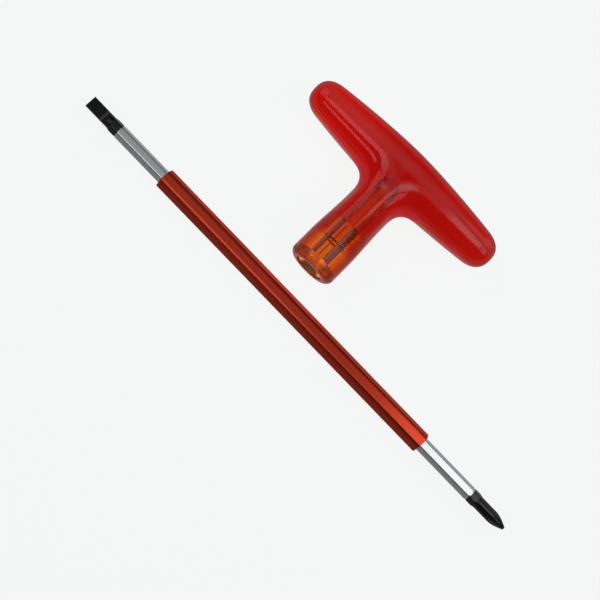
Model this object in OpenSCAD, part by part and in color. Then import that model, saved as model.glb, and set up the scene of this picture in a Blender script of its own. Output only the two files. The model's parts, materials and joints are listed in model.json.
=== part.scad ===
// T-handle screwdriver laid out in two parts: the clear handle, and the blade across its mouth.
// +X runs along the blade to the cross tip, +Y from the blade to the handle, +Z is up.
// The origin is under the middle of the whole layout, on the surface that it lies on.

/* [Crossbar] */
// Whole length of the crossbar
crossbar_len = 114.5; // [90:0.5:140]
// Radius of the crossbar at its middle
crossbar_r = 12.85; // [10:0.05:16]
// How much thinner the crossbar is at its ends, as a radius
crossbar_drop = 4.5; // [1:0.1:6]
// Length over which each end rounds off
crossbar_round = 10.5; // [6:0.5:16]

/* [Stem] */
// From the axis of the crossbar to the mouth
stem_reach = 63.5; // [60:0.5:80]
// Radius at the waist, just under the crossbar
waist_r = 11.2; // [10:0.05:12]
// Radius at the mouth
mouth_r = 12.1; // [11:0.05:14]
// From the axis of the crossbar to the waist
waist_at = 26; // [20:0.5:28]
// From the axis of the crossbar to where the flare ends
flare_end = 49.5; // [40:0.5:55]
// Radius of the rim around the mouth
rim_r = 3.4; // [1:0.1:4]
// Width of the blend between stem and crossbar
blend = 10; // [5:0.1:12]

/* [Socket] */
// Radius of the mouth ring and the front bush
bush_r = 7.3; // [6.5:0.05:8.5]
// Radius of the rear bush
rear_bush_r = 6; // [5.4:0.05:6.3]
// How far the ring sits below the mouth
ring_sink = 0.8; // [0.3:0.1:2]
// Length of the mouth ring
ring_len = 4.8; // [3:0.1:6]
// Radius of the hole in the mouth ring
ring_hole_r = 4.4; // [4.1:0.05:5]
// Length of the front bush
front_len = 11; // [8:0.1:13]
// Length of the rear bush
rear_len = 10.3; // [8:0.1:13]
// Radius of the smooth bore behind the bushes
bore_r = 3.85; // [3.75:0.05:4.5]
// Depth of the bore from the mouth
bore_depth = 58; // [57:0.5:64]
// Turn of the hexagon bore about its axis
socket_turn = 10; // [0:1:30]
// Gap round each piece pushed into the handle
push_gap = 0.05; // [0.02:0.01:0.2]

/* [Bits] */
// Hexagon of the bits, across flats
hex_af = 6.35; // [6.2:0.01:6.5]
// Radius that the hexagon corners are turned to
corner_r = 3.58; // [3.4:0.01:3.62]
// Gap between a bit and each flat of its hexagon bore
hex_gap = 0.06; // [0.03:0.01:0.12]
// Slotted bit outside the sleeve
slotted_out = 48.8; // [40:0.1:54]
// Cross bit outside the sleeve
cross_out = 54.5; // [44:0.1:56]
// Bit inside the sleeve
seat_depth = 50; // [42:0.5:60]
// Radius of the round neck behind each outer tip
neck_r = 3.14; // [2.9:0.01:3.16]
// Radius of the round neck behind each inner tip
inner_neck_r = 2.4; // [2:0.05:2.9]
// Blackened length of the slotted tip
slotted_black = 19.3; // [16:0.1:24]
// Blackened length of the cross tip
cross_black = 22; // [19:0.1:26]
// Length of the blackened hexagon behind the neck
collar_len = 5.2; // [3:0.1:7]
// Length of the cone between hexagon and neck
cone_len = 1.8; // [0.8:0.1:2.4]
// Width of the turned groove at the edge of the blackening
groove_w = 1.1; // [0.5:0.1:2]
// Radius left in that groove
groove_r = 3.36; // [3.2:0.01:3.5]

/* [Tips] */
// Thickness of the slotted tip at its edge
slot_tip_t = 1.05; // [0.8:0.05:1.4]
// Thickness of the slotted tip where its ground face ends
slot_root_t = 1.9; // [1.5:0.05:2.6]
// Length of the ground face
slot_face = 8; // [6:0.1:10]
// Length of the hollow ramp behind the ground face
slot_ramp = 4.4; // [2.5:0.1:5.5]
// Radius of the cross tip at its end
cross_end_r = 0.75; // [0.5:0.05:1.2]
// Length of the rounded nose of the cross tip
cross_nose = 8.3; // [6:0.1:10]
// Length of the flutes of the cross tip
flute_len = 10.8; // [8:0.1:14]
// Distance of each flute from the axis at the end of the tip
flute_root = 0.5; // [0.3:0.05:0.7]

/* [Sleeve] */
// Hexagon of the sleeve, across flats
sleeve_af = 9.525; // [9.3:0.005:10.5]
// Radius of the sleeve's corners
sleeve_corner = 1.7; // [0.8:0.1:2.4]
// Length of the sleeve
sleeve_len = 170; // [150:1:190]
// Bevel round each end of the sleeve
sleeve_bevel = 0.35; // [0.15:0.05:0.6]
// From each end of the sleeve to its spring ring
spring_at = 14; // [10:0.5:22]
// Gap at each end of the stop rod
stop_gap = 0.1; // [0.05:0.05:0.5]

/* [Spring rings] */
// Radius of the wire
wire_r = 0.28; // [0.2:0.01:0.3]
// Gap between a ring and the corners of the bit in it
wire_gap = 0.03; // [0.02:0.01:0.08]
// Side gap of a ring in its groove
groove_side = 0.12; // [0.05:0.01:0.3]
// Sweep of the wire round the ring
wire_sweep = 318; // [280:1:340]

/* [Layout] */
// From the axis of the blade to the mouth of the handle
mouth_gap = 17.4; // [12:0.1:40]
// Middle of the mouth from the middle of the blade, toward the slotted tip
handle_shift = 11.7; // [0:0.1:60]
// Turn of the handle from square to the blade
handle_turn = 1.1; // [0:0.1:6]

/* [Hidden] */
$fn = 64;

// Sizes that follow from the ones above
half_bar = crossbar_len / 2;
bore_af = hex_af + 2 * hex_gap;
front_at = ring_sink + ring_len;
rear_at = front_at + front_len;
rear_end = rear_at + rear_len;
seat_r = bush_r + push_gap;
rear_seat_r = rear_bush_r + push_gap;
spring_r = corner_r + wire_gap + wire_r;
spring_groove_r = spring_r + wire_r + wire_gap;
spring_groove_w = 2 * (wire_r + groove_side);
sleeve_half = (sleeve_af / 2 - sleeve_corner) / cos(30) + sleeve_corner;
stop_len = sleeve_len - 2 * (seat_depth + stop_gap);
ring_lip = 0.07 * bush_r;
ring_lead = 0.6 * ring_len;

// Cutters run past the faces they cut, and joined pieces run into each other
overcut = 1;
overlap = 0.01;

// Inner tips against outer ones: the length of the neck, and the size of the tip
inner_neck = 0.8;
inner_tip = 0.75;

// Flutes of the cross tip: how far past the neck each runs out, and how wide its V opens
flute_exit = 1.03;
flute_open = 0.875;

// Mesh of the handle: points round the stem, rings over the crossbar, rings down the stem
around = 52;
cap_rings = 26;
stem_rings = 6;
rim_rings = 4;
centre_drop = 0.48 * crossbar_r;
cap_angle = 150;
stem_start = 1.115 * crossbar_r;

// Curves of the crossbar: the power of its taper, and the power of its round ends
taper_power = 1.65;
end_power = 2.65;

// How far the rays crowd toward the crossbar, in degrees, and where along the cap they crowd most
turn_crowd = 20;
dip_crowd = 16;
crowd_at = 0.576;

// Radius of the crossbar at distance x from its middle
function bar_taper(x) = crossbar_r - crossbar_drop * pow(abs(x) / half_bar, taper_power);
function bar_end(q) = q >= 1 ? 0 : q <= 0 ? 1 : pow(1 - pow(q, end_power), 1 / end_power);
function bar_r(x) =
    bar_taper(min(abs(x), half_bar)) * bar_end((abs(x) - half_bar + crossbar_round) / crossbar_round);

// Radius of the stem at distance w from the crossbar's axis
function step01(s) = s <= 0 ? 0 : s >= 1 ? 1 : s * s * (3 - 2 * s);
function stem_r(w) = waist_r + (mouth_r - waist_r) * step01((w - waist_at) / (flare_end - waist_at));

// Depth outside the handle: crossbar and stem joined by a smooth blend
function bar_depth(p) = norm([p[1], p[2]]) - bar_r(p[0]);
function stem_depth(p) = norm([p[0], min(-p[1] - stem_start, 0), p[2]]) - stem_r(-p[1]);
function joined(a, b) = min(a, b) - pow(max(blend - abs(a - b), 0), 2) / (4 * blend);
function depth(p) = joined(bar_depth(p), stem_depth(p));

// Distance to the surface along a direction from the middle of the T
function t_centre() = [0, -centre_drop, 0];
function reach(d, near, far, n) =
    n == 0 ? (near + far) / 2 :
    depth(t_centre() + d * (near + far) / 2) < 0 ? reach(d, (near + far) / 2, far, n - 1)
                                                 : reach(d, near, (near + far) / 2, n - 1);

// Angles crowd together where the rays run out along the crossbar
function turn(i) = 360 * i / around - turn_crowd * sin(720 * i / around);
function dip_shift(t) = dip_crowd * (sin(360 * (t - crowd_at)) + sin(360 * crowd_at));
function dip(j) = cap_angle * j / cap_rings - dip_shift(j / cap_rings);
function ray(i, j) = [sin(dip(j)) * cos(turn(i)), cos(dip(j)), sin(dip(j)) * sin(turn(i))];
function cap_point(i, j) = t_centre() + ray(i, j) * reach(ray(i, j), 0, crossbar_len, 24);
function ring_point(i, r, w) = [r * cos(turn(i)), -w, r * sin(turn(i))];

// Rings of the stem start where the rays of the cap leave off
cap_end_w = -cap_point(around / 4, cap_rings)[1];
function stem_w(k) = cap_end_w + (stem_reach - rim_r - cap_end_w) * k / stem_rings;
function rim_out(k) = mouth_r - rim_r * (1 - cos(90 * k / rim_rings));
function rim_w(k) = stem_reach - rim_r * (1 - sin(90 * k / rim_rings));

handle_points = concat(
    [cap_point(0, 0)],
    [for (j = [1 : cap_rings]) for (i = [0 : around - 1]) cap_point(i, j)],
    [for (k = [1 : stem_rings]) for (i = [0 : around - 1]) ring_point(i, stem_r(stem_w(k)), stem_w(k))],
    [for (k = [1 : rim_rings]) for (i = [0 : around - 1]) ring_point(i, rim_out(k), rim_w(k))],
    [[0, -stem_reach, 0]]);
rings = cap_rings + stem_rings + rim_rings;
last_point = 1 + rings * around;
function at(j, i) = 1 + j * around + i % around;
handle_faces = concat(
    [for (i = [0 : around - 1]) [0, at(0, i), at(0, i + 1)]],
    [for (j = [0 : rings - 2]) for (i = [0 : around - 1]) [at(j, i), at(j + 1, i), at(j + 1, i + 1)]],
    [for (j = [0 : rings - 2]) for (i = [0 : around - 1]) [at(j, i), at(j + 1, i + 1), at(j, i + 1)]],
    [for (i = [0 : around - 1]) [last_point, at(rings - 1, i + 1), at(rings - 1, i)]]);

// Where the two parts lie
handle_z = max([for (p = handle_points) p[2]]);
handle_far = max([for (p = handle_points) p[0] * sin(handle_turn) + (p[1] + stem_reach) * cos(handle_turn)]);
layout_depth = sleeve_half + mouth_gap + handle_far;
blade_total = slotted_out + sleeve_len + cross_out;
sleeve_x = -blade_total / 2 + slotted_out;
blade_y = sleeve_half - layout_depth / 2;
blade_z = sleeve_af / 2;
mouth_y = blade_y + mouth_gap;

// Frames: the handle stands on its mouth with the stem along y, z runs into it from the mouth,
// and z runs along the blade from the left end of the sleeve
module at_mouth() {
    translate([-handle_shift, mouth_y, handle_z])
        rotate([0, 0, handle_turn])
            children();
}

module in_handle() {
    at_mouth()
        rotate([-90, 0, 0])
            children();
}

module on_blade(x) {
    translate([sleeve_x + x, blade_y, blade_z])
        rotate([0, 90, 0])
            rotate([0, 0, 30])
                children();
}

// A hexagon bar on z
module hex_bar(af, len) {
    cylinder(r = af / 2 / cos(30), h = len, $fn = 6);
}

// A split ring of round wire, its middle at z = 0
module spring_ring() {
    rotate([0, 0, (360 - wire_sweep) / 2])
        rotate_extrude(angle = wire_sweep)
            translate([spring_r, 0])
                circle(r = wire_r, $fn = 24);
}

// A plain tube
module tube(r, hole, len) {
    difference() {
        cylinder(r = r, h = len);
        translate([0, 0, -overcut])
            cylinder(r = hole, h = len + 2 * overcut);
    }
}

module t_handle() {
    color([0.75, 0.08, 0.1, 0.6])
        difference() {
            at_mouth()
                translate([0, stem_reach, 0])
                    polyhedron(handle_points, handle_faces, convexity = 8);
            in_handle()
                rotate_extrude()
                    polygon([[0, -overcut], [seat_r, -overcut], [seat_r, rear_at + push_gap],
                             [rear_seat_r, rear_at + push_gap], [rear_seat_r, rear_end + push_gap],
                             [bore_r, rear_end + push_gap], [bore_r, bore_depth - bore_r / 2],
                             [bore_r / 3, bore_depth], [0, bore_depth]]);
        }
}

module mouth_ring() {
    color([0.8, 0.6, 0.2])
        in_handle()
            translate([0, 0, ring_sink])
                difference() {
                    tube(bush_r, ring_hole_r, ring_len - push_gap);
                    translate([0, 0, -overlap])
                        cylinder(r1 = bush_r - ring_lip, r2 = ring_hole_r, h = ring_lead);
                }
}

// The hexagon bore through a bush of one length
module socket_hexagon(len) {
    translate([0, 0, -overcut])
        rotate([0, 0, -socket_turn])
            hex_bar(bore_af, len + 2 * overcut);
}

module front_socket() {
    color([0.95, 0.5, 0.1, 0.7])
        in_handle()
            translate([0, 0, front_at])
                difference() {
                    cylinder(r = bush_r, h = front_len - push_gap);
                    socket_hexagon(front_len);
                    translate([0, 0, front_len - push_gap - spring_groove_w])
                        cylinder(r = spring_groove_r, h = spring_groove_w + overcut);
                }
}

module rear_socket() {
    color([0.9, 0.45, 0.1, 0.7])
        in_handle()
            translate([0, 0, rear_at])
                difference() {
                    cylinder(r = rear_bush_r, h = rear_len);
                    socket_hexagon(rear_len);
                }
}

module socket_spring() {
    color([0.3, 0.3, 0.32])
        in_handle()
            translate([0, 0, rear_at - push_gap - spring_groove_w / 2])
                spring_ring();
}

// Outline of the sleeve: flats joined by round corners
module sleeve_outline() {
    r = sleeve_half - sleeve_corner;
    for (a = [0 : 60 : 300])
        rotate(a)
            translate([r, 0])
                circle(r = sleeve_corner);
    polygon([for (a = [0 : 60 : 300]) for (s = [-30, 30])
        [r * cos(a) + sleeve_corner * cos(a + s), r * sin(a) + sleeve_corner * sin(a + s)]]);
}

// The groove of one spring ring, its middle at z = 0
module spring_groove() {
    translate([0, 0, -spring_groove_w / 2])
        cylinder(r = spring_groove_r, h = spring_groove_w);
}

module sleeve() {
    color([0.7, 0.12, 0.06])
        on_blade(0)
            difference() {
                intersection() {
                    linear_extrude(sleeve_len)
                        sleeve_outline();
                    rotate_extrude()
                        polygon([[0, 0], [sleeve_half - sleeve_bevel, 0],
                                 [sleeve_half + overcut, sleeve_bevel + overcut],
                                 [sleeve_half + overcut, sleeve_len - sleeve_bevel - overcut],
                                 [sleeve_half - sleeve_bevel, sleeve_len], [0, sleeve_len]]);
                }
                translate([0, 0, -overcut])
                    hex_bar(bore_af, sleeve_len + 2 * overcut);
                translate([0, 0, spring_at])
                    spring_groove();
                translate([0, 0, sleeve_len - spring_at])
                    spring_groove();
            }
}

module slotted_end_spring() {
    color([0.3, 0.3, 0.32])
        on_blade(spring_at)
            spring_ring();
}

module cross_end_spring() {
    color([0.3, 0.3, 0.32])
        on_blade(sleeve_len - spring_at)
            spring_ring();
}

module bit_stop() {
    color([0.7, 0.7, 0.72])
        on_blade(seat_depth + stop_gap)
            hex_bar(hex_af, stop_len);
}

// Hexagon shank from z = a to z = b, coned down to a neck radius at each end
module shank(a, b, neck_a, neck_b, mark) {
    difference() {
        intersection() {
            translate([0, 0, a])
                hex_bar(hex_af, b - a);
            rotate_extrude()
                polygon([[0, a], [neck_a, a], [corner_r, a + cone_len], [corner_r, b - cone_len],
                         [neck_b, b], [0, b]]);
        }
        translate([0, 0, mark - groove_w / 2])
            tube(corner_r + overcut, groove_r, groove_w);
    }
}

// A slotted tip, its edge at z = 0 and its neck running up to z = len
module slot_tip(r, len, size) {
    t0 = slot_tip_t * size;
    t1 = slot_root_t * size;
    wide = 1.1 * r;
    side = concat(
        [[t0 / 2, 0], [t1 / 2, slot_face * size]],
        [for (a = [15 : 15 : 75])
            [t1 / 2 + (wide - t1 / 2) * (1 - cos(a)), (slot_face + slot_ramp * sin(a)) * size]],
        [[wide, (slot_face + slot_ramp) * size], [wide, len + overcut]]);
    far_side = [for (i = [len(side) - 1 : -1 : 0]) [-side[i][0], side[i][1]]];
    intersection() {
        cylinder(r = r, h = len);
        rotate([0, 0, -30])
            rotate([90, 0, 0])
                linear_extrude(4 * r, center = true)
                    polygon(concat(side, far_side));
    }
}

// A cross tip, its end at z = 0 and its neck running up to z = len
module cross_tip(r, len, size) {
    nose = cross_nose * size;
    end_r = cross_end_r * size;
    root = flute_root * size;
    lean = atan((flute_exit * r - root) / (flute_len * size));
    difference() {
        rotate_extrude()
            polygon(concat([[0, 0]],
                [for (a = [0 : 9 : 90]) [end_r + (r - end_r) * sin(a), nose * a / 90]],
                [[r, len], [0, len]]));
        for (a = [15 : 90 : 285])
            rotate([0, 0, a])
                translate([root, 0, 0])
                    rotate([0, lean, 0])
                        translate([0, 0, -r])
                            linear_extrude(flute_len * size + 3 * r)
                                polygon([[0, 0], [2 * r, 2 * r * flute_open], [2 * r, -2 * r * flute_open]]);
    }
}

module slotted_bit() {
    total = slotted_out + seat_depth;
    outer = slotted_black - collar_len;
    inner = outer * inner_neck;
    color([0.7, 0.71, 0.73])
        on_blade(-slotted_out) {
            shank(outer, total - inner, neck_r, inner_neck_r, slotted_black);
            slot_tip(neck_r, outer + overlap, 1);
            translate([0, 0, total])
                mirror([0, 0, 1])
                    slot_tip(inner_neck_r, inner + overlap, inner_tip);
        }
}

module cross_bit() {
    total = cross_out + seat_depth;
    outer = cross_black - collar_len;
    inner = outer * inner_neck;
    color([0.7, 0.71, 0.73])
        on_blade(sleeve_len + cross_out)
            mirror([0, 0, 1]) {
                shank(outer, total - inner, neck_r, inner_neck_r, cross_black);
                cross_tip(neck_r, outer + overlap, 1);
                translate([0, 0, total])
                    mirror([0, 0, 1])
                        cross_tip(inner_neck_r, inner + overlap, inner_tip);
            }
}

t_handle();
mouth_ring();
front_socket();
rear_socket();
socket_spring();
sleeve();
slotted_end_spring();
cross_end_spring();
bit_stop();
slotted_bit();
cross_bit();
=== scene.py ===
import json
import math

import bpy
import numpy as np
from mathutils import Matrix, Vector


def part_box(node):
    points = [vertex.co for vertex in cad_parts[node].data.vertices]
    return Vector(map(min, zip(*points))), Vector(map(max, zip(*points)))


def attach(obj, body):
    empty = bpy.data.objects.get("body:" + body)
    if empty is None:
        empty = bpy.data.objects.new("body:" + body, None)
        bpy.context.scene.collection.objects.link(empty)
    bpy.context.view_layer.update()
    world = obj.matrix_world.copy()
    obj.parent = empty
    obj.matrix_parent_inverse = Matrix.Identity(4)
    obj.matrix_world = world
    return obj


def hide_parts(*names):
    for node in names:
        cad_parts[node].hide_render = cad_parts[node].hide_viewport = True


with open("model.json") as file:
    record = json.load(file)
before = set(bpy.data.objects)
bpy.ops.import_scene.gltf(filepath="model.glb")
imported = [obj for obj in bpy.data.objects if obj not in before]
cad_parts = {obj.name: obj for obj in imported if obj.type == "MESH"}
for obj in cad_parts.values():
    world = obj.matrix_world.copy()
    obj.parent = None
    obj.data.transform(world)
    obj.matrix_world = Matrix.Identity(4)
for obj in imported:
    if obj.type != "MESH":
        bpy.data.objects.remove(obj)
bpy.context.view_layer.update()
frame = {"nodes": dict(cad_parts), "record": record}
nodes = frame["nodes"]
scene = bpy.context.scene

MM = 0.001

# Sizes of the part, in millimetres, as the solids have them
CROSSBAR_LEN, CROSSBAR_R, CROSSBAR_DROP, CROSSBAR_ROUND = 114.5, 12.85, 4.5, 10.5
TAPER_POWER, END_POWER = 1.65, 2.65
STEM_REACH, WAIST_R, MOUTH_R, WAIST_AT, FLARE_END = 63.5, 11.2, 12.1, 26.0, 49.5
RIM_R, BLEND = 3.4, 10.0
STEM_START, T_CENTRE = 1.115 * CROSSBAR_R, 0.48 * CROSSBAR_R
SEAT_R, REAR_SEAT_R, BORE_R, BORE_DEPTH = 7.35, 6.05, 3.85, 58.0
REAR_AT, REAR_END, SOCKET_TURN = 16.65, 26.95, math.radians(10.0)
SLEEVE_AF, SLEEVE_POWER, SLEEVE_BEVEL = 9.525, 14.1, 0.35
BORE_AF, GROOVE_R, GROOVE_W, SPRING_AT = 6.47, 4.2, 0.8, 14.0
SLOTTED_BLACK, CROSS_BLACK = 19.3, 22.0
SLOTTED_INNER_BLACK, CROSS_INNER_BLACK = 82.0, 86.0
INNER_SHARE, INNER_SIZE, OVER_CORNERS = 0.8, 0.75, 3.75
HEX_AF, HEX_POWER, NECK_R, INNER_NECK_R, COLLAR_LEN, CONE_LEN = 6.35, 22.0, 3.14, 2.4, 5.2, 1.8
GROOVE_BAND, GROOVE_TURNED_R = 1.1, 3.36
SLOT_TIP_T, SLOT_ROOT_T, SLOT_FACE, SLOT_RAMP = 1.05, 1.9, 8.0, 4.4
CROSS_TIP_R, CROSS_NOSE, FLUTE_LEN, FLUTE_ROOT = 0.75, 8.3, 10.8, 0.5
FLUTE_EXIT, FLUTE_OPEN = 1.03, 0.875


def corners(node):
    """A node's lowest and highest corners, in millimetres."""
    return [np.array(corner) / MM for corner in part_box(node)]


# Places of the part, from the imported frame
sleeve_low, sleeve_high = corners("sleeve")
SLEEVE_X, SLEEVE_LEN = sleeve_low[0], sleeve_high[0] - sleeve_low[0]
BLADE_Y, BLADE_Z = (sleeve_low[1:] + sleeve_high[1:]) / 2
SLOTTED_END, SLOTTED_IN = (corner[0] for corner in corners("slotted_bit"))
CROSS_IN, CROSS_END = (corner[0] for corner in corners("cross_bit"))
SLOTTED_LEN, CROSS_LEN = SLOTTED_IN - SLOTTED_END, CROSS_END - CROSS_IN
socket = next(mount for mount in frame["record"]["mounts"] if mount["name"] == "bit_socket")
MOUTH = np.array(socket["pos_m"]) / MM
HANDLE_TURN = math.atan2(socket["axis"][0], -socket["axis"][1])


class Tone:
    """A shader socket that takes Python's operators: each one adds a Math node to the same finish."""

    def __init__(self, finish, socket):
        self.finish = finish
        self.socket = socket

    def math(self, operation, *others, swap=False):
        """The Math node of that operation on this value and the others, in that order unless swapped."""
        values = [self, *others]
        if swap:
            values.reverse()
        return self.finish.node("ShaderNodeMath", {"operation": operation}, dict(enumerate(values)))

    def __add__(self, other):
        return self.math("ADD", other)

    def __sub__(self, other):
        return self.math("SUBTRACT", other)

    def __mul__(self, other):
        return self.math("MULTIPLY", other)

    def __rsub__(self, other):
        return self.math("SUBTRACT", other, swap=True)

    __radd__ = __add__
    __rmul__ = __mul__


class Finish:
    """The node tree of one material."""

    def __init__(self, name, tree=None):
        if tree is None:
            self.material = bpy.data.materials.new(name)
            self.material.use_nodes = True
            tree = self.material.node_tree
        self.tree = tree
        self.tree.nodes.clear()

    def node(self, kind, settings=None, sockets=None, out=0):
        """Adds a node: its settings first, then values or links for its sockets."""
        made = self.tree.nodes.new(kind)
        for key, value in (settings or {}).items():
            setattr(made, key, value)
        for key, value in (sockets or {}).items():
            if isinstance(value, Tone):
                self.tree.links.new(value.socket, made.inputs[key])
            else:
                made.inputs[key].default_value = value
        return Tone(self, made.outputs[out]) if len(made.outputs) else None

    def place(self):
        """Object coordinates, in metres, as every piece has its place in its mesh."""
        return self.node("ShaderNodeTexCoord", out=3)

    def axes(self, vector):
        """The three numbers of a vector."""
        return [self.node("ShaderNodeSeparateXYZ", None, {0: vector}, out=i) for i in range(3)]

    def stretched(self, vector, scale):
        """A vector multiplied by a scale for each axis."""
        return self.node("ShaderNodeVectorMath", {"operation": "MULTIPLY"}, {0: vector, 1: scale})

    def noise(self, vector, scale, detail=3.0, roughness=0.55):
        """Smooth noise from 0 to 1."""
        return self.node("ShaderNodeTexNoise", None,
                         {"Vector": vector, "Scale": scale, "Detail": detail, "Roughness": roughness})

    def step(self, value, low, high):
        """A smooth rise from 0 at low to 1 at high."""
        return self.node("ShaderNodeMapRange", {"interpolation_type": "SMOOTHSTEP"},
                         {"Value": value, "From Min": low, "From Max": high})

    def rise(self, value, low, high):
        """A smooth rise from 0 to 1 between two lengths in millimetres."""
        return self.step(value, low * MM, high * MM)

    def fall(self, value, low, high):
        """A smooth fall from 1 to 0 between two lengths in millimetres."""
        return 1.0 - self.rise(value, low, high)

    def between(self, value, low, high):
        """A value from 0 to 1 spread over low to high."""
        return value * (high - low) + low

    def blend(self, factor, first, second):
        """A mix of two colours."""
        return self.node("ShaderNodeMix", {"data_type": "RGBA"}, {0: factor, 6: first, 7: second}, out=2)

    def bump(self, height, strength, distance):
        """A surface normal from a height."""
        return self.node("ShaderNodeBump", None,
                         {"Strength": strength, "Distance": distance, "Height": height})

    def done(self, surface, volume=None):
        """Joins the shader to the output."""
        sockets = {"Surface": surface}
        if volume:
            sockets["Volume"] = volume
        self.node("ShaderNodeOutputMaterial", None, sockets)
        return self.material


# Finishes

def socket_place(f, at):
    """Depth into the socket from the mouth, distance from its axis, and level distance to the +X side of
    that axis, all in metres."""
    mouth = tuple(MOUTH * MM)
    into = (-math.sin(HANDLE_TURN), math.cos(HANDLE_TURN), 0.0)
    sideways = (math.cos(HANDLE_TURN), math.sin(HANDLE_TURN), 0.0)
    offset = f.node("ShaderNodeVectorMath", {"operation": "SUBTRACT"}, {0: at, 1: mouth})
    depth = f.node("ShaderNodeVectorMath", {"operation": "DOT_PRODUCT"}, {0: offset, 1: into}, out=1)
    across = f.node("ShaderNodeVectorMath", {"operation": "CROSS_PRODUCT"}, {0: offset, 1: into})
    radius = f.node("ShaderNodeVectorMath", {"operation": "LENGTH"}, {0: across}, out=1)
    side = f.node("ShaderNodeVectorMath", {"operation": "DOT_PRODUCT"}, {0: offset, 1: sideways}, out=1)
    return depth, radius, side


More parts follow.
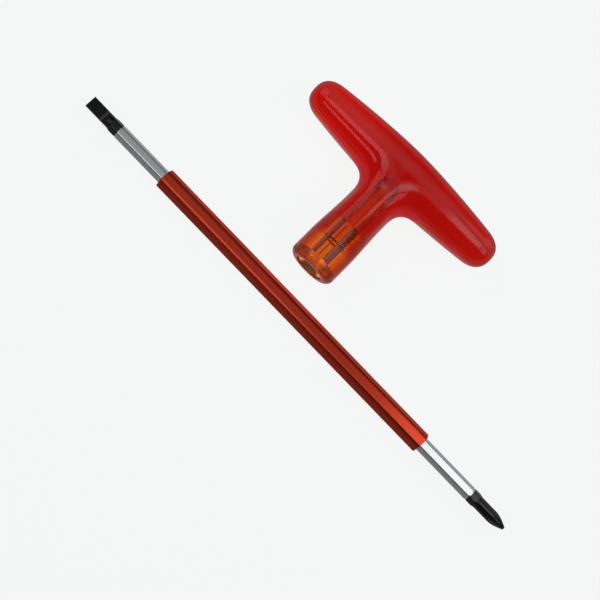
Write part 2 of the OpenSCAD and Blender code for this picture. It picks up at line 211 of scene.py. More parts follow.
def clear_red_plastic():
    """Polished see-through plastic that reddens with its thickness: wavy as moulded, with faint handling
    marks. Its dye is deeper behind the front bush. Painted shade darkens the stem's flanks, and painted
    light gives a paler band over the bore and a brighter arm on the -X side. The mouth's face and rim have
    scuffs and a painted glow, a painted glow lies in the T's two inner corners, a painted sheen lies along
    the crossbar's ridge, the drilled bore is dull, and no surface shows where the bushes are bonded in."""
    f = Finish("clear_red_plastic")
    at = f.place()
    depth, radius, side = socket_place(f, at)
    aside = side.math("ABSOLUTE")
    height = (f.axes(at)[2] - MOUTH[2] * MM).math("ABSOLUTE")
    cloud = f.noise(at, 130.0)
    marks = f.noise(f.stretched(at, (320.0, 60.0, 320.0)), 1.0, 2.0)

    # Places on the handle: 0 outside each, and its full share inside
    behind = f.rise(depth, REAR_END + 0.02, REAR_END + 0.06)
    drilled = behind * f.fall(radius, BORE_R + 0.1, BORE_R + 0.8)
    bonded = f.rise(depth, 0.3, 0.5) * (1.0 - behind) * f.fall(radius, SEAT_R + 0.01, SEAT_R + 0.25)
    face = f.fall(depth, 0.4, 1.2) * f.rise(radius, SEAT_R + 0.05, SEAT_R + 0.35)
    rim = f.fall(depth, 1.0, 2.6) * f.rise(radius, 9.5, 11.0)
    on_bar = f.rise(depth, 55.0, 58.0)
    # Painted glow: the T's two inner corners take a matte layer that gives off a red emission colour.
    corner = f.rise(depth, 39.0, 44.0) * f.fall(depth, 51.0, 55.0) * f.fall(height, 4.0, 9.0)
    corner = corner * f.rise(radius, 10.5, 12.0) * f.fall(radius, 18.0, 25.0)
    # Painted sheen: a hazy pale pink band along the crossbar's ridge, top and bottom, stands in for a soft
    # reflection.
    ridge = f.rise(depth, STEM_REACH - 3.0, STEM_REACH) * f.fall(depth, STEM_REACH + 1.5, STEM_REACH + 6.0)
    ridge = ridge * f.rise(height, 5.0, 7.0) * f.between(cloud, 0.6, 1.2)
    deep = f.rise(depth, REAR_AT - 0.5, REAR_AT + 1.0) * 0.45
    deep = deep + f.rise(depth, REAR_END - 1.0, REAR_END + 3.0) * 0.55
    deep = deep * f.rise(radius, BORE_R + 1.0, BORE_R + 2.0)
    # Painted light: a paler band over the bore, from the rear bush to the bore's end, stands in for light
    # seen through the bore.
    bore_light = f.fall(aside, 5.0, 6.5) * f.rise(radius, 6.5, 7.0)
    bore_light = bore_light * f.rise(depth, REAR_END, REAR_END + 1.0) * f.fall(depth, 44.0, 56.0)
    # Painted shade: the stem's flanks are darkened toward its sides, most strongly near the mouth and fading
    # out toward the crossbar.
    flank_shade = 0.72 - f.rise(depth, REAR_END - 1.0, REAR_END + 2.0) * 0.25 - f.rise(depth, 38.0, 46.0) * 0.47
    widened = aside + f.rise(depth, 15.0, 18.0) * (1.5 * MM)
    flank_shade = flank_shade * f.rise(widened, 6.5, 9.5) * f.rise(radius, 7.6, 8.0)

    # Colours by place
    stained = f.blend(cloud, (0.59, 0.08, 0.14, 1.0), (0.635, 0.12, 0.19, 1.0))
    # Painted light: the arm on the -X side is painted a brighter red.
    stained = f.blend(f.rise(0.0 - side, 5.0, 30.0) * 0.3, stained, (1.0, 0.0, 0.10, 1.0))
    tint = f.blend(deep, (0.86, 0.97, 0.95, 1.0), stained)
    tint = f.blend(bore_light * 0.4, tint, (0.95, 0.62, 0.60, 1.0))
    tint = f.blend(flank_shade, tint, (0.05, 0.005, 0.012, 1.0))
    # Painted glow: emission colours of the matte layer, crimson on the mouth's face and deeper in, orange
    # near the rim, none on the crossbar.
    crimson = face.math("MAXIMUM", f.rise(depth, 6.0, 10.0))
    glow = f.blend(crimson, (0.24, 0.085, 0.030, 1.0), (0.40, 0.006, 0.010, 1.0))
    glow = f.blend(on_bar, glow, (0.0, 0.0, 0.0, 1.0))
    # Base colour of the matte layer: scuffs on the mouth's face and rim, and the ground under the painted
    # glow in the T's corners.
    scuff_and_glow_tone = f.blend(cloud, (0.26, 0.020, 0.030, 1.0), (0.36, 0.035, 0.045, 1.0))

    clear = f.node("ShaderNodeBsdfPrincipled", None, {
        "Base Color": tint,
        "Roughness": f.between(f.step(marks, 0.45, 0.8), 0.09, 0.14) + drilled * 0.5,
        "IOR": 1.47,
        "Transmission Weight": 1.0,
        "Normal": f.bump(f.noise(at, 45.0, 0.0), 0.12, 0.0009),
    })
    # Matte layer: scuffs and painted glow at the mouth, painted glow in the T's inner corners, and a pale
    # painted sheen on the crossbar's ridge.
    dull = f.node("ShaderNodeBsdfPrincipled", None, {
        "Base Color": f.blend(on_bar, scuff_and_glow_tone, (0.62, 0.32, 0.32, 1.0)),
        "Roughness": 0.8,
        "Specular IOR Level": 0.2,
        "Emission Color": glow,
        "Emission Strength": 1.0,
    })
    share = (face * 0.4).math("MAXIMUM", rim * 0.25)
    share = share.math("MAXIMUM", corner * 0.75).math("MAXIMUM", ridge * 0.12)
    clear_and_matte = f.node("ShaderNodeMixShader", None, {0: share, 1: clear, 2: dull})
    open_way = f.node("ShaderNodeBsdfTransparent")
    volume = f.node("ShaderNodeVolumeAbsorption", None,
                    {"Color": (0.972, 0.589, 0.067, 1.0), "Density": 450.0})
    return f.done(f.node("ShaderNodeMixShader", None, {0: bonded, 1: clear_and_matte, 2: open_way}), volume)


def clear_amber_plastic():
    """See-through amber plastic of the bushes: its bore has fine turning marks and painted shade in the
    hexagon's corners, the hexagon's upper side walls are mixed toward a dark matte as painted shade, and its
    outside is bonded to the handle, so that only the colour changes there."""
    f = Finish("clear_amber_plastic")
    at = f.place()
    _, radius, _ = socket_place(f, at)
    # Painted shade: the hexagon bore's corners are dark, and a little rougher.
    corner_shade = f.rise(radius, 3.54, 3.68) * f.fall(radius, 3.9, 4.1)
    # Painted shade: the hexagon's side walls, tilted from its top and bottom flats and above the axis, mix
    # toward a dark brown matte.
    facing = f.node("ShaderNodeTexCoord", out=1)
    lid = (-math.sin(SOCKET_TURN) * math.cos(HANDLE_TURN), -math.sin(SOCKET_TURN) * math.sin(HANDLE_TURN),
           math.cos(SOCKET_TURN))
    level = f.node("ShaderNodeVectorMath", {"operation": "DOT_PRODUCT"}, {0: facing, 1: lid}, out=1)
    upper = f.rise(f.axes(at)[2] - MOUTH[2] * MM, -0.2, 0.4)
    shaded_side_wall = (1.0 - f.step(level.math("ABSOLUTE"), 0.6, 0.9)) * upper
    bonded = f.rise(radius, 4.3, 4.5)
    turned = f.noise(f.stretched(at, (60.0, 600.0, 60.0)), 1.0, 1.0)
    amber = f.blend(turned, (1.0, 0.90, 0.66, 1.0), (1.0, 0.95, 0.78, 1.0))
    clear = f.node("ShaderNodeBsdfPrincipled", None, {
        "Base Color": f.blend(corner_shade, amber, (0.16, 0.06, 0.02, 1.0)),
        "Roughness": f.between(turned, 0.08, 0.14) + corner_shade * 0.2,
        "IOR": 1.47,
        "Transmission Weight": 1.0,
        "Normal": f.bump(turned, 0.1, 0.0002),
    })
    # Dark brown matte for the painted shade on the side walls.
    dull = f.node("ShaderNodeBsdfPrincipled", None, {
        "Base Color": f.blend(turned, (0.16, 0.08, 0.05, 1.0), (0.30, 0.17, 0.11, 1.0)),
        "Roughness": 0.8,
        "Specular IOR Level": 0.2,
    })
    clear_and_matte = f.node("ShaderNodeMixShader", None, {0: shaded_side_wall * 0.62, 1: clear, 2: dull})
    open_way = f.node("ShaderNodeBsdfTransparent")
    volume = f.node("ShaderNodeVolumeAbsorption", None, {"Color": (0.98, 0.80, 0.10, 1.0), "Density": 160.0})
    return f.done(f.node("ShaderNodeMixShader", None, {0: bonded, 1: clear_and_matte, 2: open_way}), volume)


def turned_brass():
    """Brass with turning rings across its axis and a little tarnish."""
    f = Finish("turned_brass")
    at = f.place()
    rings = f.noise(f.stretched(at, (60.0, 5200.0, 60.0)), 1.0, 2.0)
    tarnish = f.noise(at, 420.0, 4.0)
    surface = f.node("ShaderNodeBsdfPrincipled", None, {
        "Base Color": f.blend(f.step(tarnish, 0.35, 0.75), (0.95, 0.68, 0.25, 1.0), (0.76, 0.48, 0.15, 1.0)),
        "Metallic": 1.0,
        "Roughness": f.between(rings, 0.16, 0.34),
        "Normal": f.bump(rings, 0.25, 0.0001),
    })
    return f.done(surface)


def red_anodised():
    """Dyed aluminium: a metal with a red skin, drawn lines along its length and paler worn specks."""
    f = Finish("red_anodised")
    at = f.place()
    lines = f.noise(f.stretched(at, (2.0, 700.0, 700.0)), 1.0, 2.0)
    cloud = f.noise(at, 60.0, 3.0)
    shade = f.blend(lines, (0.56, 0.036, 0.012, 1.0), (0.70, 0.058, 0.020, 1.0))
    shade = f.blend(f.step(cloud, 0.3, 0.8) * 0.5, shade, (0.62, 0.048, 0.016, 1.0))
    surface = f.node("ShaderNodeBsdfPrincipled", None, {
        "Base Color": shade,
        "Metallic": 1.0,
        "Roughness": f.between(lines, 0.15, 0.27),
        "Specular Tint": (1.0, 0.40, 0.32, 1.0),
        "Coat Weight": 0.3,
        "Coat Roughness": 0.12,
        "Normal": f.bump(lines, 0.02, 0.00008),
    })
    return f.done(surface)


def chrome_and_black(name, tip, direction, black, inner):
    """Satin chrome that turns to black oxide at both tips; each edge of the blackening wavers a little.
    Distance along the blade is x times the direction, measured from the tip."""
    f = Finish(name)
    at = f.place()
    along = (f.axes(at)[0] - tip * MM) * direction
    wavering = along + (f.noise(at, 500.0) - 0.5) * (0.8 * MM)
    soft = 0.12
    outer = f.fall(wavering, black - soft, black + soft)
    far = f.rise(wavering, inner - soft, inner + soft)
    dark = outer.math("MAXIMUM", far)
    brushed = f.noise(f.stretched(at, (25.0, 1200.0, 1200.0)), 1.0, 2.0)
    scuffs = f.noise(at, 600.0, 3.0)
    chrome = f.blend(brushed, (0.60, 0.61, 0.62, 1.0), (0.70, 0.71, 0.72, 1.0))
    oxide = f.blend(f.step(scuffs, 0.5, 0.85), (0.0015, 0.0015, 0.002, 1.0), (0.005, 0.005, 0.006, 1.0))
    rough = f.between(brushed, 0.15, 0.24)
    surface = f.node("ShaderNodeBsdfPrincipled", None, {
        "Base Color": f.blend(dark, chrome, oxide),
        "Metallic": 1.0 - dark,
        "Specular IOR Level": 0.5,
        "Roughness": rough + dark * (f.between(scuffs, 0.12, 0.26) - rough),
        "Normal": f.bump(brushed * 0.5 + scuffs * 0.5, 0.02, 0.00008),
    })
    return f.done(surface)


def drawn_wire():
    """Grey spring wire with lines of the drawing die."""
    f = Finish("drawn_wire")
    at = f.place()
    lines = f.noise(at, 2600.0, 3.0)
    surface = f.node("ShaderNodeBsdfPrincipled", None, {
        "Base Color": f.blend(lines, (0.20, 0.20, 0.21, 1.0), (0.34, 0.34, 0.35, 1.0)),
        "Metallic": 1.0,
        "Roughness": f.between(lines, 0.25, 0.45),
    })
    return f.done(surface)


def sawn_aluminium():
    """Bare aluminium rod with drawn lines along its length."""
    f = Finish("sawn_aluminium")
    at = f.place()
    lines = f.noise(f.stretched(at, (30.0, 3600.0, 3600.0)), 1.0, 3.0)
    surface = f.node("ShaderNodeBsdfPrincipled", None, {
        "Base Color": f.blend(lines, (0.60, 0.61, 0.62, 1.0), (0.74, 0.75, 0.76, 1.0)),
        "Metallic": 1.0,
        "Roughness": f.between(lines, 0.28, 0.45),
    })
    return f.done(surface)


# Shapes

def surface_piece(name, points, faces, material, body, slot, stands_for, sharp=40.0, normals=None):
    """Makes a mesh of points in millimetres, smooth but for edges past the sharp angle, and seats it on a
    body. Normals of a true surface, where given, take the place of those of the faces; a zero keeps the
    faces' own."""
    mesh = bpy.data.meshes.new(name)
    mesh.from_pydata((points * MM).astype(np.float64), [], faces)
    mesh.polygons.foreach_set("use_smooth", np.ones(len(mesh.polygons), bool))
    mesh.set_sharp_from_angle(angle=math.radians(sharp))
    mesh.materials.append(material)
    mesh.update()
    if normals is not None:
        mesh.normals_split_custom_set_from_vertices(normals)
    piece = bpy.data.objects.new(name, mesh)
    scene.collection.objects.link(piece)
    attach(piece, body)
    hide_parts(stands_for)


def grid_faces(rings, around, wrap=False, flip=False):
    """Quads of a grid of rings, each ring closed on itself; the last ring joins the first where it wraps."""
    j = np.arange(rings if wrap else rings - 1)[:, None]
    i = np.arange(around)[None, :]
    a, b = j * around + i, j * around + (i + 1) % around
    c, d = ((j + 1) % rings) * around + (i + 1) % around, ((j + 1) % rings) * around + i
    quads = np.stack([a, b, c, d], axis=-1).reshape(-1, 4)
    return quads[:, ::-1] if flip else quads


def end_fan(ring_start, around, point, flip=False):
    """Triangles from one ring to a single point."""
    i = np.arange(around)
    tris = np.stack([ring_start + i, ring_start + (i + 1) % around, np.full(around, point)], axis=-1)
    return tris[:, ::-1] if flip else tris


def smooth_step(s):
    """0 below 0, 1 above 1, and 3s2 - 2s3 between."""
    s = np.clip(s, 0.0, 1.0)
    return s * s * (3.0 - 2.0 * s)


def bar_radius(x):
    """Crossbar radius: it falls as a power of the distance from the middle, and each end rounds off on a
    curve of a power of its own."""
    half = CROSSBAR_LEN / 2
    d = np.minimum(np.abs(x), half)
    q = np.clip((np.abs(x) - half + CROSSBAR_ROUND) / CROSSBAR_ROUND, 0.0, 1.0)
    taper = CROSSBAR_R - CROSSBAR_DROP * (d / half) ** TAPER_POWER
    return taper * (1.0 - q ** END_POWER) ** (1 / END_POWER)


def stem_radius(w):
    """Stem radius at distance w from the crossbar's axis: the waist, widening by a smooth step to the
    mouth."""
    return WAIST_R + (MOUTH_R - WAIST_R) * smooth_step((w - WAIST_AT) / (FLARE_END - WAIST_AT))


def outside_handle(p):
    """Depth outside the handle: crossbar and stem joined by a smooth minimum of width BLEND."""
    bar = np.hypot(p[..., 1], p[..., 2]) - bar_radius(p[..., 0])
    past = np.minimum(-p[..., 1] - STEM_START, 0.0)
    stem = np.sqrt(p[..., 0] ** 2 + past ** 2 + p[..., 2] ** 2) - stem_radius(-p[..., 1])
    return np.minimum(bar, stem) - np.maximum(BLEND - np.abs(bar - stem), 0.0) ** 2 / (4 * BLEND)


def outward(p, reach=0.001):
    """Unit normals of the blended surface: how its depth changes along each axis."""
    steps = reach * np.eye(3)
    slope = np.stack([outside_handle(p + step) - outside_handle(p - step) for step in steps], axis=-1)
    return slope / np.linalg.norm(slope, axis=-1, keepdims=True)


def handle_surface(around=288, cap=120, stem=44, rim=12):
    """The handle as one closed skin of rings: rays from the middle of the T meet the blended surface, then
    rings run down the stem, round the rim, across the mouth and back up the stepped bore to its closed end.
    The rays sway toward the arms and the T's corners, so that the mesh is finer there."""
    turn_share = np.arange(around) / around
    turn = np.radians(360 * turn_share - 20 * np.sin(np.radians(720 * turn_share)))
    t = np.arange(1, cap + 1) / cap
    finest = 0.576
    sway = np.sin(np.radians(360 * (t - finest))) + math.sin(math.radians(360 * finest))
    dip = np.radians(150 * t - 16 * sway)
    centre = np.array([0.0, -T_CENTRE, 0.0])
    rays = np.stack([np.sin(dip)[:, None] * np.cos(turn), np.cos(dip)[:, None] + 0 * turn,
                     np.sin(dip)[:, None] * np.sin(turn)], axis=-1)
    near, far = np.zeros(rays.shape[:2]), np.full(rays.shape[:2], CROSSBAR_LEN)
    for _ in range(40):
        middle = (near + far) / 2
        inside = outside_handle(centre + rays * middle[..., None]) < 0
        near, far = np.where(inside, middle, near), np.where(inside, far, middle)
    caps = centre + rays * ((near + far) / 2)[..., None]

    start = -caps[-1, :, 1].mean()
    w_stem = np.linspace(start, STEM_REACH - RIM_R, stem + 1)[1:]
    bend = np.linspace(0, math.pi / 2, rim + 1)[1:]
    outer = np.concatenate([
        np.stack([stem_radius(w_stem), w_stem], axis=1),
        np.stack([MOUTH_R - RIM_R * (1 - np.cos(bend)), STEM_REACH - RIM_R * (1 - np.sin(bend))], axis=1)])
    lip = 0.15
    inner = np.array([
        (SEAT_R + lip + 0.3, 0), (SEAT_R + lip, 0), (SEAT_R + 0.04, 0.05), (SEAT_R, lip), (SEAT_R, 1.2),
        (SEAT_R, 8), (SEAT_R, REAR_AT - 0.1), (SEAT_R, REAR_AT),
        (SEAT_R - 0.1, REAR_AT), (REAR_SEAT_R + 0.1, REAR_AT), (REAR_SEAT_R, REAR_AT),
        (REAR_SEAT_R, REAR_AT + 0.1), (REAR_SEAT_R, REAR_END - 0.1), (REAR_SEAT_R, REAR_END),
        (REAR_SEAT_R - 0.1, REAR_END), (BORE_R + 0.1, REAR_END), (BORE_R, REAR_END), (BORE_R, REAR_END + 0.1),
        (BORE_R, 40), (BORE_R, BORE_DEPTH - BORE_R / 2 - 0.1), (BORE_R, BORE_DEPTH - BORE_R / 2),
        (BORE_R - 0.1, BORE_DEPTH - BORE_R / 2 + 0.08), (BORE_R / 3, BORE_DEPTH), (0.2, BORE_DEPTH)])
    inner[:, 1] = STEM_REACH - inner[:, 1]
    profile = np.concatenate([outer, inner])
    wide, down = profile[:, :1], profile[:, 1:]
    rings = np.stack([wide * np.cos(turn), -down + 0 * turn, wide * np.sin(turn)], axis=-1)
    skin = np.concatenate([caps, rings]).reshape(-1, 3)
    top = np.array([[0.0, bar_radius(np.array(0.0)), 0.0]])
    points = np.concatenate([skin, top, [[0.0, -(STEM_REACH - BORE_DEPTH), 0.0]]])
    count = cap + len(profile)
    faces = grid_faces(count, around).tolist()
    faces += end_fan(0, around, len(skin), flip=True).tolist()
    faces += end_fan((count - 1) * around, around, len(skin) + 1).tolist()
    normals = np.zeros((count, around, 3))
    normals[:cap + stem] = outward(points[:(cap + stem) * around]).reshape(-1, around, 3)
    normals[cap + stem:cap + stem + rim] = np.stack([
        np.cos(bend)[:, None] * np.cos(turn), -np.sin(bend)[:, None] + 0 * turn,
        np.cos(bend)[:, None] * np.sin(turn)], axis=-1)
    normals = np.concatenate([normals.reshape(-1, 3), [[0.0, 1.0, 0.0], [0.0, 0.0, 0.0]]])
    cos, sin = math.cos(HANDLE_TURN), math.sin(HANDLE_TURN)
    turned = np.array([[cos, -sin, 0.0], [sin, cos, 0.0], [0.0, 0.0, 1.0]])
    return (points + np.array([0.0, STEM_REACH, 0.0])) @ turned.T + MOUTH, faces, normals @ turned.T


def hexagon(angle, across):
    """Distance from the axis to a hexagon's flat at an angle; flats lie at 30, 90 and 150 degrees."""
    off = angle % (math.pi / 3) - math.pi / 6
    return across / 2 / np.cos(off)


def across_flats(angle, across, power):
    """Distance from the axis to a hexagon with softly rounded corners: across / 2 divided by the power sum of
    the cosines to its six flats, which lie at 30 degrees and every 60 from there."""
    flats = np.radians(30 + 60 * np.arange(6))
    facing = np.maximum(np.cos(angle[..., None] - flats), 0.0) ** power
    return across / 2 / facing.sum(axis=-1) ** (1 / power)


def sleeve_surface():
    """The sleeve as a closed loop of outlines: along the outside between its bevelled ends, across the end,
    back through the hexagon bore with its two spring grooves, and across the first end."""
    angle = 2 * math.pi * np.arange(360) / 360
    circle = np.stack([np.cos(angle), np.sin(angle)], axis=1)
    outline = across_flats(angle, SLEEVE_AF, SLEEVE_POWER)[:, None] * circle
    bore = hexagon(angle, BORE_AF)[:, None] * circle
    groove = GROOVE_R * circle
    ends = [SPRING_AT - GROOVE_W / 2, SPRING_AT + GROOVE_W / 2]
    grow = 1 - SLEEVE_BEVEL / (SLEEVE_AF / 2)
    length = np.linspace(SLEEVE_BEVEL, SLEEVE_LEN - SLEEVE_BEVEL, 41)
    loop = [(0.0, outline * grow), (0.05, outline * (grow + 0.02))]
    loop += [(x, outline) for x in [SLEEVE_BEVEL * 0.8, *length, SLEEVE_LEN - SLEEVE_BEVEL * 0.8]]
    loop += [(SLEEVE_LEN - 0.05, outline * (grow + 0.02)), (SLEEVE_LEN, outline * grow)]
    inside = [(0.0, bore * 1.04), (0.12, bore), (ends[0], bore), (ends[0], groove), (ends[1], groove),
              (ends[1], bore), (SLEEVE_LEN / 2, bore)]
    loop += [(SLEEVE_LEN - x, shape) for x, shape in inside] + inside[-2::-1]
    rings = np.stack([np.concatenate([np.full((len(shape), 1), x), shape], axis=1) for x, shape in loop])
    faces = grid_faces(len(loop), len(outline), wrap=True)
    points = rings.reshape(-1, 3) + np.array([SLEEVE_X, BLADE_Y, BLADE_Z])
    return points, faces.tolist()


def least(*limits, power=70.0):
    """The least of several radii with its corners softened: the power sum of power -70."""
    return sum(limit ** -power for limit in limits) ** (-1 / power)


def stations(marks, step, fine):
    """Places along a bit: a fine spacing near each mark and a coarse one elsewhere."""
    near = np.concatenate([m + fine * np.arange(-4, 5) for m in marks])
    whole = np.concatenate([np.arange(marks[0], marks[-1], step), near])
    return np.unique(np.clip(np.round(whole, 3), marks[0], marks[-1]))


def slab(s, size):
    """Half thickness of a slotted tip at distance s from its edge: a ground face, then a hollow ramp."""
    face, ramp = SLOT_FACE * size, SLOT_RAMP * size
    flat = (SLOT_TIP_T + (SLOT_ROOT_T - SLOT_TIP_T) * np.clip(s / face, 0, 1)) * size / 2
    rise = np.sqrt(np.clip(1 - np.clip((s - face) / ramp, 0, 1) ** 2, 0, 1))
    return flat + (4.2 - flat) * (1 - rise) + 30 * np.clip(s - face - ramp, 0, None)


def flutes(s, angle, size):
    """Distance from the axis to the four V grooves of a cross tip: each has its root on a line that leans out
    from the axis, and sides at 41 degrees."""
    lean = (FLUTE_EXIT * NECK_R - FLUTE_ROOT) / FLUTE_LEN
    root = FLUTE_ROOT * size + lean * s
    off = angle % (math.pi / 2) - math.pi / 4
    open_side = np.cos(off) - np.abs(np.sin(off)) / FLUTE_OPEN
    return np.where(open_side > 1e-3, root / np.maximum(open_side, 1e-3), 60.0)


def nose(s, radius, size):
    """Radius of a cross tip's rounded nose: a sine from its end to its neck."""
    rise = np.sin(np.clip(s / (CROSS_NOSE * size), 0, 1) * math.pi / 2)
    return CROSS_TIP_R * size + (radius - CROSS_TIP_R * size) * rise


def bit_surface(tip, direction, total, black, cross, around=300):
    """A bit as rings of one radius for each angle: the least of the hexagon, the turned outline and the tips.
    The outline runs neck, cone, hexagon with a groove at the edge of the blackening, cone and inner neck."""
    outer = black - COLLAR_LEN
    inner = total - INNER_SHARE * outer
    marks = [0, outer, outer + CONE_LEN, black - GROOVE_BAND / 2, black + GROOVE_BAND / 2,
             inner - CONE_LEN, inner, total]
    edges = [0.0, SLOT_FACE, SLOT_FACE + SLOT_RAMP, total - SLOT_FACE * INNER_SIZE, total]
    s = np.unique(np.concatenate([stations(marks, 2.4, 0.05), stations(edges, 2.4, 0.12),
                                  np.arange(0, 16, 0.22), total - np.arange(0, 12, 0.22)]))
    turned = np.interp(s, marks, [NECK_R] * 2 + [OVER_CORNERS] * 4 + [INNER_NECK_R] * 2)
    band = np.abs(s - black) < GROOVE_BAND / 2
    turned = np.where(band, GROOVE_TURNED_R, turned)
    angle = 2 * math.pi * np.arange(around) / around
    a, along = np.meshgrid(angle, s)
    far = total - along
    radius = least(across_flats(a, HEX_AF, HEX_POWER), np.repeat(turned[:, None], around, axis=1))
    if cross:
        radius = least(radius, np.minimum(nose(along, NECK_R, 1.0) + 9 * (along > outer),
                                          nose(far, INNER_NECK_R, INNER_SIZE) + 9 * (far > total - inner)))
        radius = least(radius, flutes(along, a, 1.0), flutes(far, a, INNER_SIZE))
    else:
        thin = np.minimum(slab(along, 1.0), slab(far, INNER_SIZE))
        radius = least(radius, thin / np.maximum(np.abs(np.sin(a)), 1e-3))
    rings = np.stack([tip + direction * along, BLADE_Y + radius * np.cos(a),
                      BLADE_Z + radius * np.sin(a)], axis=-1)
    ends = np.array([[tip, BLADE_Y, BLADE_Z], [tip + direction * total, BLADE_Y, BLADE_Z]])
    points = np.concatenate([rings.reshape(-1, 3), ends])
    flip = direction < 0
    faces = grid_faces(len(s), around, flip=flip).tolist()
    faces += end_fan(0, around, len(points) - 2, flip=not flip).tolist()
    faces += end_fan((len(s) - 1) * around, around, len(points) - 1, flip=flip).tolist()
    return points, faces


# Pieces

points, faces, normals = handle_surface()
surface_piece("handle_skin", points, faces, clear_red_plastic(), "handle", "clear_red", "t_handle",
              normals=normals)
surface_piece("sleeve_skin", *sleeve_surface(), red_anodised(), "blade", "red_anodised", "sleeve", 28.0)
surface_piece("slotted_bit_skin", *bit_surface(SLOTTED_END, 1.0, SLOTTED_LEN, SLOTTED_BLACK, False),
              chrome_and_black("slotted_bit_finish", SLOTTED_END, 1.0, SLOTTED_BLACK, SLOTTED_INNER_BLACK),
              "slotted_bit", "chromed_steel", "slotted_bit", 24.0)
surface_piece("cross_bit_skin", *bit_surface(CROSS_END, -1.0, CROSS_LEN, CROSS_BLACK, True),
              chrome_and_black("cross_bit_finish", CROSS_END, -1.0, CROSS_BLACK, CROSS_INNER_BLACK),
              "cross_bit", "chromed_steel", "cross_bit", 24.0)

amber = clear_amber_plastic()
wire = drawn_wire()
finishes = {
    "mouth_ring": turned_brass(),
    "front_socket": amber,
    "rear_socket": amber,
    "socket_spring": wire,
    "slotted_end_spring": wire,
    "cross_end_spring": wire,
    "bit_stop": sawn_aluminium(),
}
for name, material in finishes.items():
    nodes[name].data.materials.clear()
    nodes[name].data.materials.append(material)


# Stage

def beside_handle(f, x, y):
    """1 on the floor beside the handle, falling to 0 away from it: a step of the distance to the nearer of
    its two middle lines, the crossbar's and the stem's. It places painted light that reflections show."""
    middle = MOUTH + STEM_REACH * np.array([-math.sin(HANDLE_TURN), math.cos(HANDLE_TURN), 0.0])
    along_bar = ((x - middle[0] * MM).math("ABSOLUTE") - 0.36 * CROSSBAR_LEN * MM).math("MAXIMUM", 0.0)
    from_bar = y - middle[1] * MM
    past_mouth = ((MOUTH[1] + MOUTH_R) * MM - y).math("MAXIMUM", 0.0)
    past_bar = from_bar.math("MAXIMUM", 0.0)
    from_stem = x - MOUTH[0] * MM
    to_bar = along_bar * along_bar + from_bar * from_bar
    to_stem = from_stem * from_stem + past_mouth * past_mouth + past_bar * past_bar
    return f.fall(to_bar.math("MINIMUM", to_stem).math("SQRT"), 18.0, 36.0)


def pale_stage():
    """Pale ground that seen rays meet at its own colour, with a share of true light so that shadows stay.
    Metal and polished plastic meet it dimmer, as in a room whose walls are grey, and dimmer up the wall.
    In their reflections it has painted light close behind the blade and round the handle, and painted
    shade in a band before the blade. Seen through the plastic, its far part has painted shade."""
    f = Finish("pale_stage")
    x, y, z = f.axes(f.place())
    beyond = y - BLADE_Y * MM
    before = BLADE_Y * MM - y
    # Painted light in reflections: a band just behind the blade and a patch round the handle.
    strip = f.rise(beyond, 0.0, 4.0) * f.fall(beyond, 22.0, 40.0) * 0.20
    light_pool = strip.math("MAXIMUM", beside_handle(f, x, y) * 0.38)
    # Reflections of the floor dim up the wall.
    wall = f.rise(z, 20.0, 500.0) * 0.17
    # Painted shade in reflections: a darker band before the blade.
    dip = f.rise(before, 22.0, 40.0) * f.fall(before, 55.0, 90.0) * 0.15
    # Painted shade seen through the plastic: the floor darkens far from the middle.
    away = f.rise((x * x + y * y).math("SQRT"), 160.0, 550.0) * 0.45
    seen, glossy, through = (f.node("ShaderNodeLightPath", out=i) for i in (0, 3, 6))
    plain = seen.math("MAXIMUM", through * (1.0 - away))
    level = plain.math("MAXIMUM", glossy * (light_pool - wall - dip + 0.25))
    lit = f.node("ShaderNodeBsdfDiffuse", None, {"Color": (0.90, 0.91, 0.905, 1.0)})
    shown = f.node("ShaderNodeEmission", None, {
        "Color": f.blend(level, (0.0, 0.0, 0.0, 1.0), (0.985, 1.0, 0.993, 1.0)),
        "Strength": 1.0,
    })
    share = seen.math("MAXIMUM", through).math("MAXIMUM", glossy) * 0.89
    return f.done(f.node("ShaderNodeMixShader", None, {0: share, 1: lit, 2: shown}))


def stage_surface(around=96):
    """A flat round floor whose edge turns up into a wall: radius and height follow a quarter circle
    between."""
    flat, curve, top = 2.2, 0.8, 2.0
    bend = np.linspace(0, math.pi / 2, 17)
    radius = np.concatenate([np.linspace(0.02, flat, 12), flat + curve * np.sin(bend[1:]), [flat + curve]])
    height = np.concatenate([np.zeros(12), curve * (1 - np.cos(bend[1:])), [top]])
    turn = 2 * math.pi * np.arange(around) / around
    rings = np.stack([radius[:, None] * np.cos(turn), radius[:, None] * np.sin(turn),
                      height[:, None] + 0 * turn], axis=-1).reshape(-1, 3)
    faces = grid_faces(len(radius), around, flip=True).tolist()
    faces += end_fan(0, around, len(rings)).tolist()
    return np.concatenate([rings, [[0.0, 0.0, 0.0]]]), faces


FLOOR_GAP = 0.05 * MM
points, faces = stage_surface()
ground = bpy.data.meshes.new("floor")
ground.from_pydata(points - np.array([0, 0, FLOOR_GAP]), [], faces)
ground.materials.append(pale_stage())
ground.update()
floor = bpy.data.objects.new("floor", ground)
scene.collection.objects.link(floor)

world = bpy.data.worlds.new("room")
scene.world = world
world.use_nodes = True
room = Finish("room", world.node_tree)
through = room.node("ShaderNodeLightPath", out=6)
shade = room.blend(through, (0.08, 0.081, 0.083, 1.0), (0.50, 0.50, 0.50, 1.0))
background = room.node("ShaderNodeBackground", None, {"Color": shade})
room.node("ShaderNodeOutputWorld", None, {"Surface": background})


def soft_lamp(name, place, target, width, height, radiance):
    """A rectangular lamp facing a point; its power is the radiance times pi times its area."""
    data = bpy.data.lights.new(name, "AREA")
    data.shape = "RECTANGLE"
    data.size, data.size_y = width, height
    data.energy = radiance * math.pi * width * height
    lamp = bpy.data.objects.new(name, data)
    back = (Vector(place) - Vector(target)).normalized()
    lamp.rotation_euler = back.to_track_quat("Z", "Y").to_euler()
    lamp.location = place
    scene.collection.objects.link(lamp)


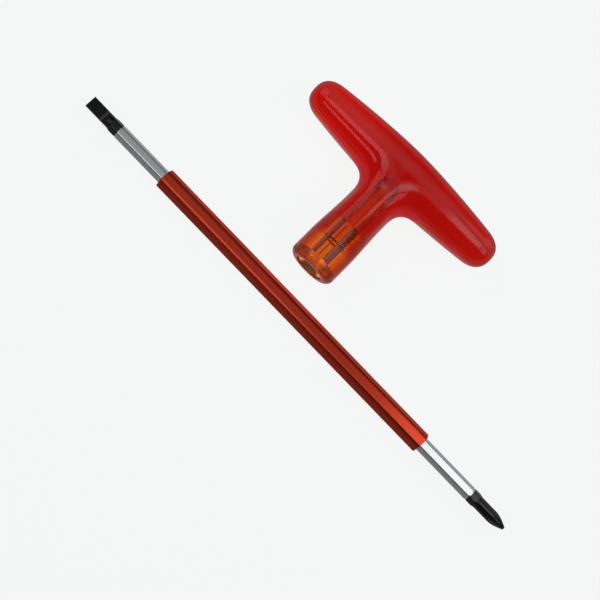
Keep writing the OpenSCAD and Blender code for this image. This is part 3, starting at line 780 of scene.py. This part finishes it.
soft_lamp("right_softbox", (0.24, 0.09, 0.62), (0.24, 0.09, 0.0), 0.20, 0.34, 1.25)
for share in (1.0, 0.75, 0.5, 0.25):
    soft_lamp("back_softbox", (0.38, 0.58, 0.34), (0.03, 0.03, 0.02), 0.36 * share, 0.64 * share, 0.5)
soft_lamp("far_softbox", (0.62, 0.06, 0.60), (0.08, 0.0, 0.0), 0.42, 0.42, 0.8)
soft_lamp("end_softbox", (-0.68, 0.06, 0.52), (-0.12, -0.04, 0.0), 0.54, 0.45, 0.67)
soft_lamp("left_strip", (-0.20, -0.185, 0.60), (-0.20, -0.185, 0.0), 0.44, 0.05, 1.5)
soft_lamp("low_panel", (-0.22, -0.57, 0.60), (-0.06, 0.03, 0.02), 0.44, 0.15, 1.1)
soft_lamp("left_panel", (-0.20, -0.095, 0.60), (-0.20, -0.095, 0.0), 0.44, 0.17, 0.9)
soft_lamp("ceiling_panel", (0.0, -0.02, 0.66), (0.0, -0.02, 0.0), 0.56, 0.26, 0.34)
for edge in (-0.13, -0.07, -0.01):
    soft_lamp("far_panel", (edge - 0.29, 0.30, 0.66), (edge - 0.29, 0.30, 0.0), 0.58, 0.40, 0.13)

# Camera: over the blade, leaning back along -Y, rolled so that the blade runs down to the right

lean = math.radians(78.5)
roll_cos, roll_sin = 0.695, 0.719
aim_right, aim_up = 1.43 * MM, 6.85 * MM
far_off = 0.585
side = Vector((1.0, 0.0, 0.0))
upward = Vector((0.0, math.sin(lean), math.cos(lean)))
back = Vector((0.0, -math.cos(lean), math.sin(lean)))
right = roll_cos * side + roll_sin * upward
up = -roll_sin * side + roll_cos * upward
right.normalize()
up.normalize()
aim = Vector((0.0, BLADE_Y, BLADE_Z)) * MM + aim_right * right + aim_up * up
spot = aim + far_off * back
lens = bpy.data.cameras.new("camera")
lens.sensor_width = 36.0
lens.lens = 76.3
camera = bpy.data.objects.new("camera", lens)
camera.matrix_world = Matrix(((right.x, up.x, back.x, spot.x), (right.y, up.y, back.y, spot.y),
                              (right.z, up.z, back.z, spot.z), (0, 0, 0, 1)))
scene.collection.objects.link(camera)
scene.camera = camera
scene.view_settings.view_transform = "Standard"

# Light is passed along inside the clear plastic by many reflections
scene.cycles.max_bounces = 24
scene.cycles.glossy_bounces = 16
scene.cycles.transmission_bounces = 16

bpy.context.view_layer.update()
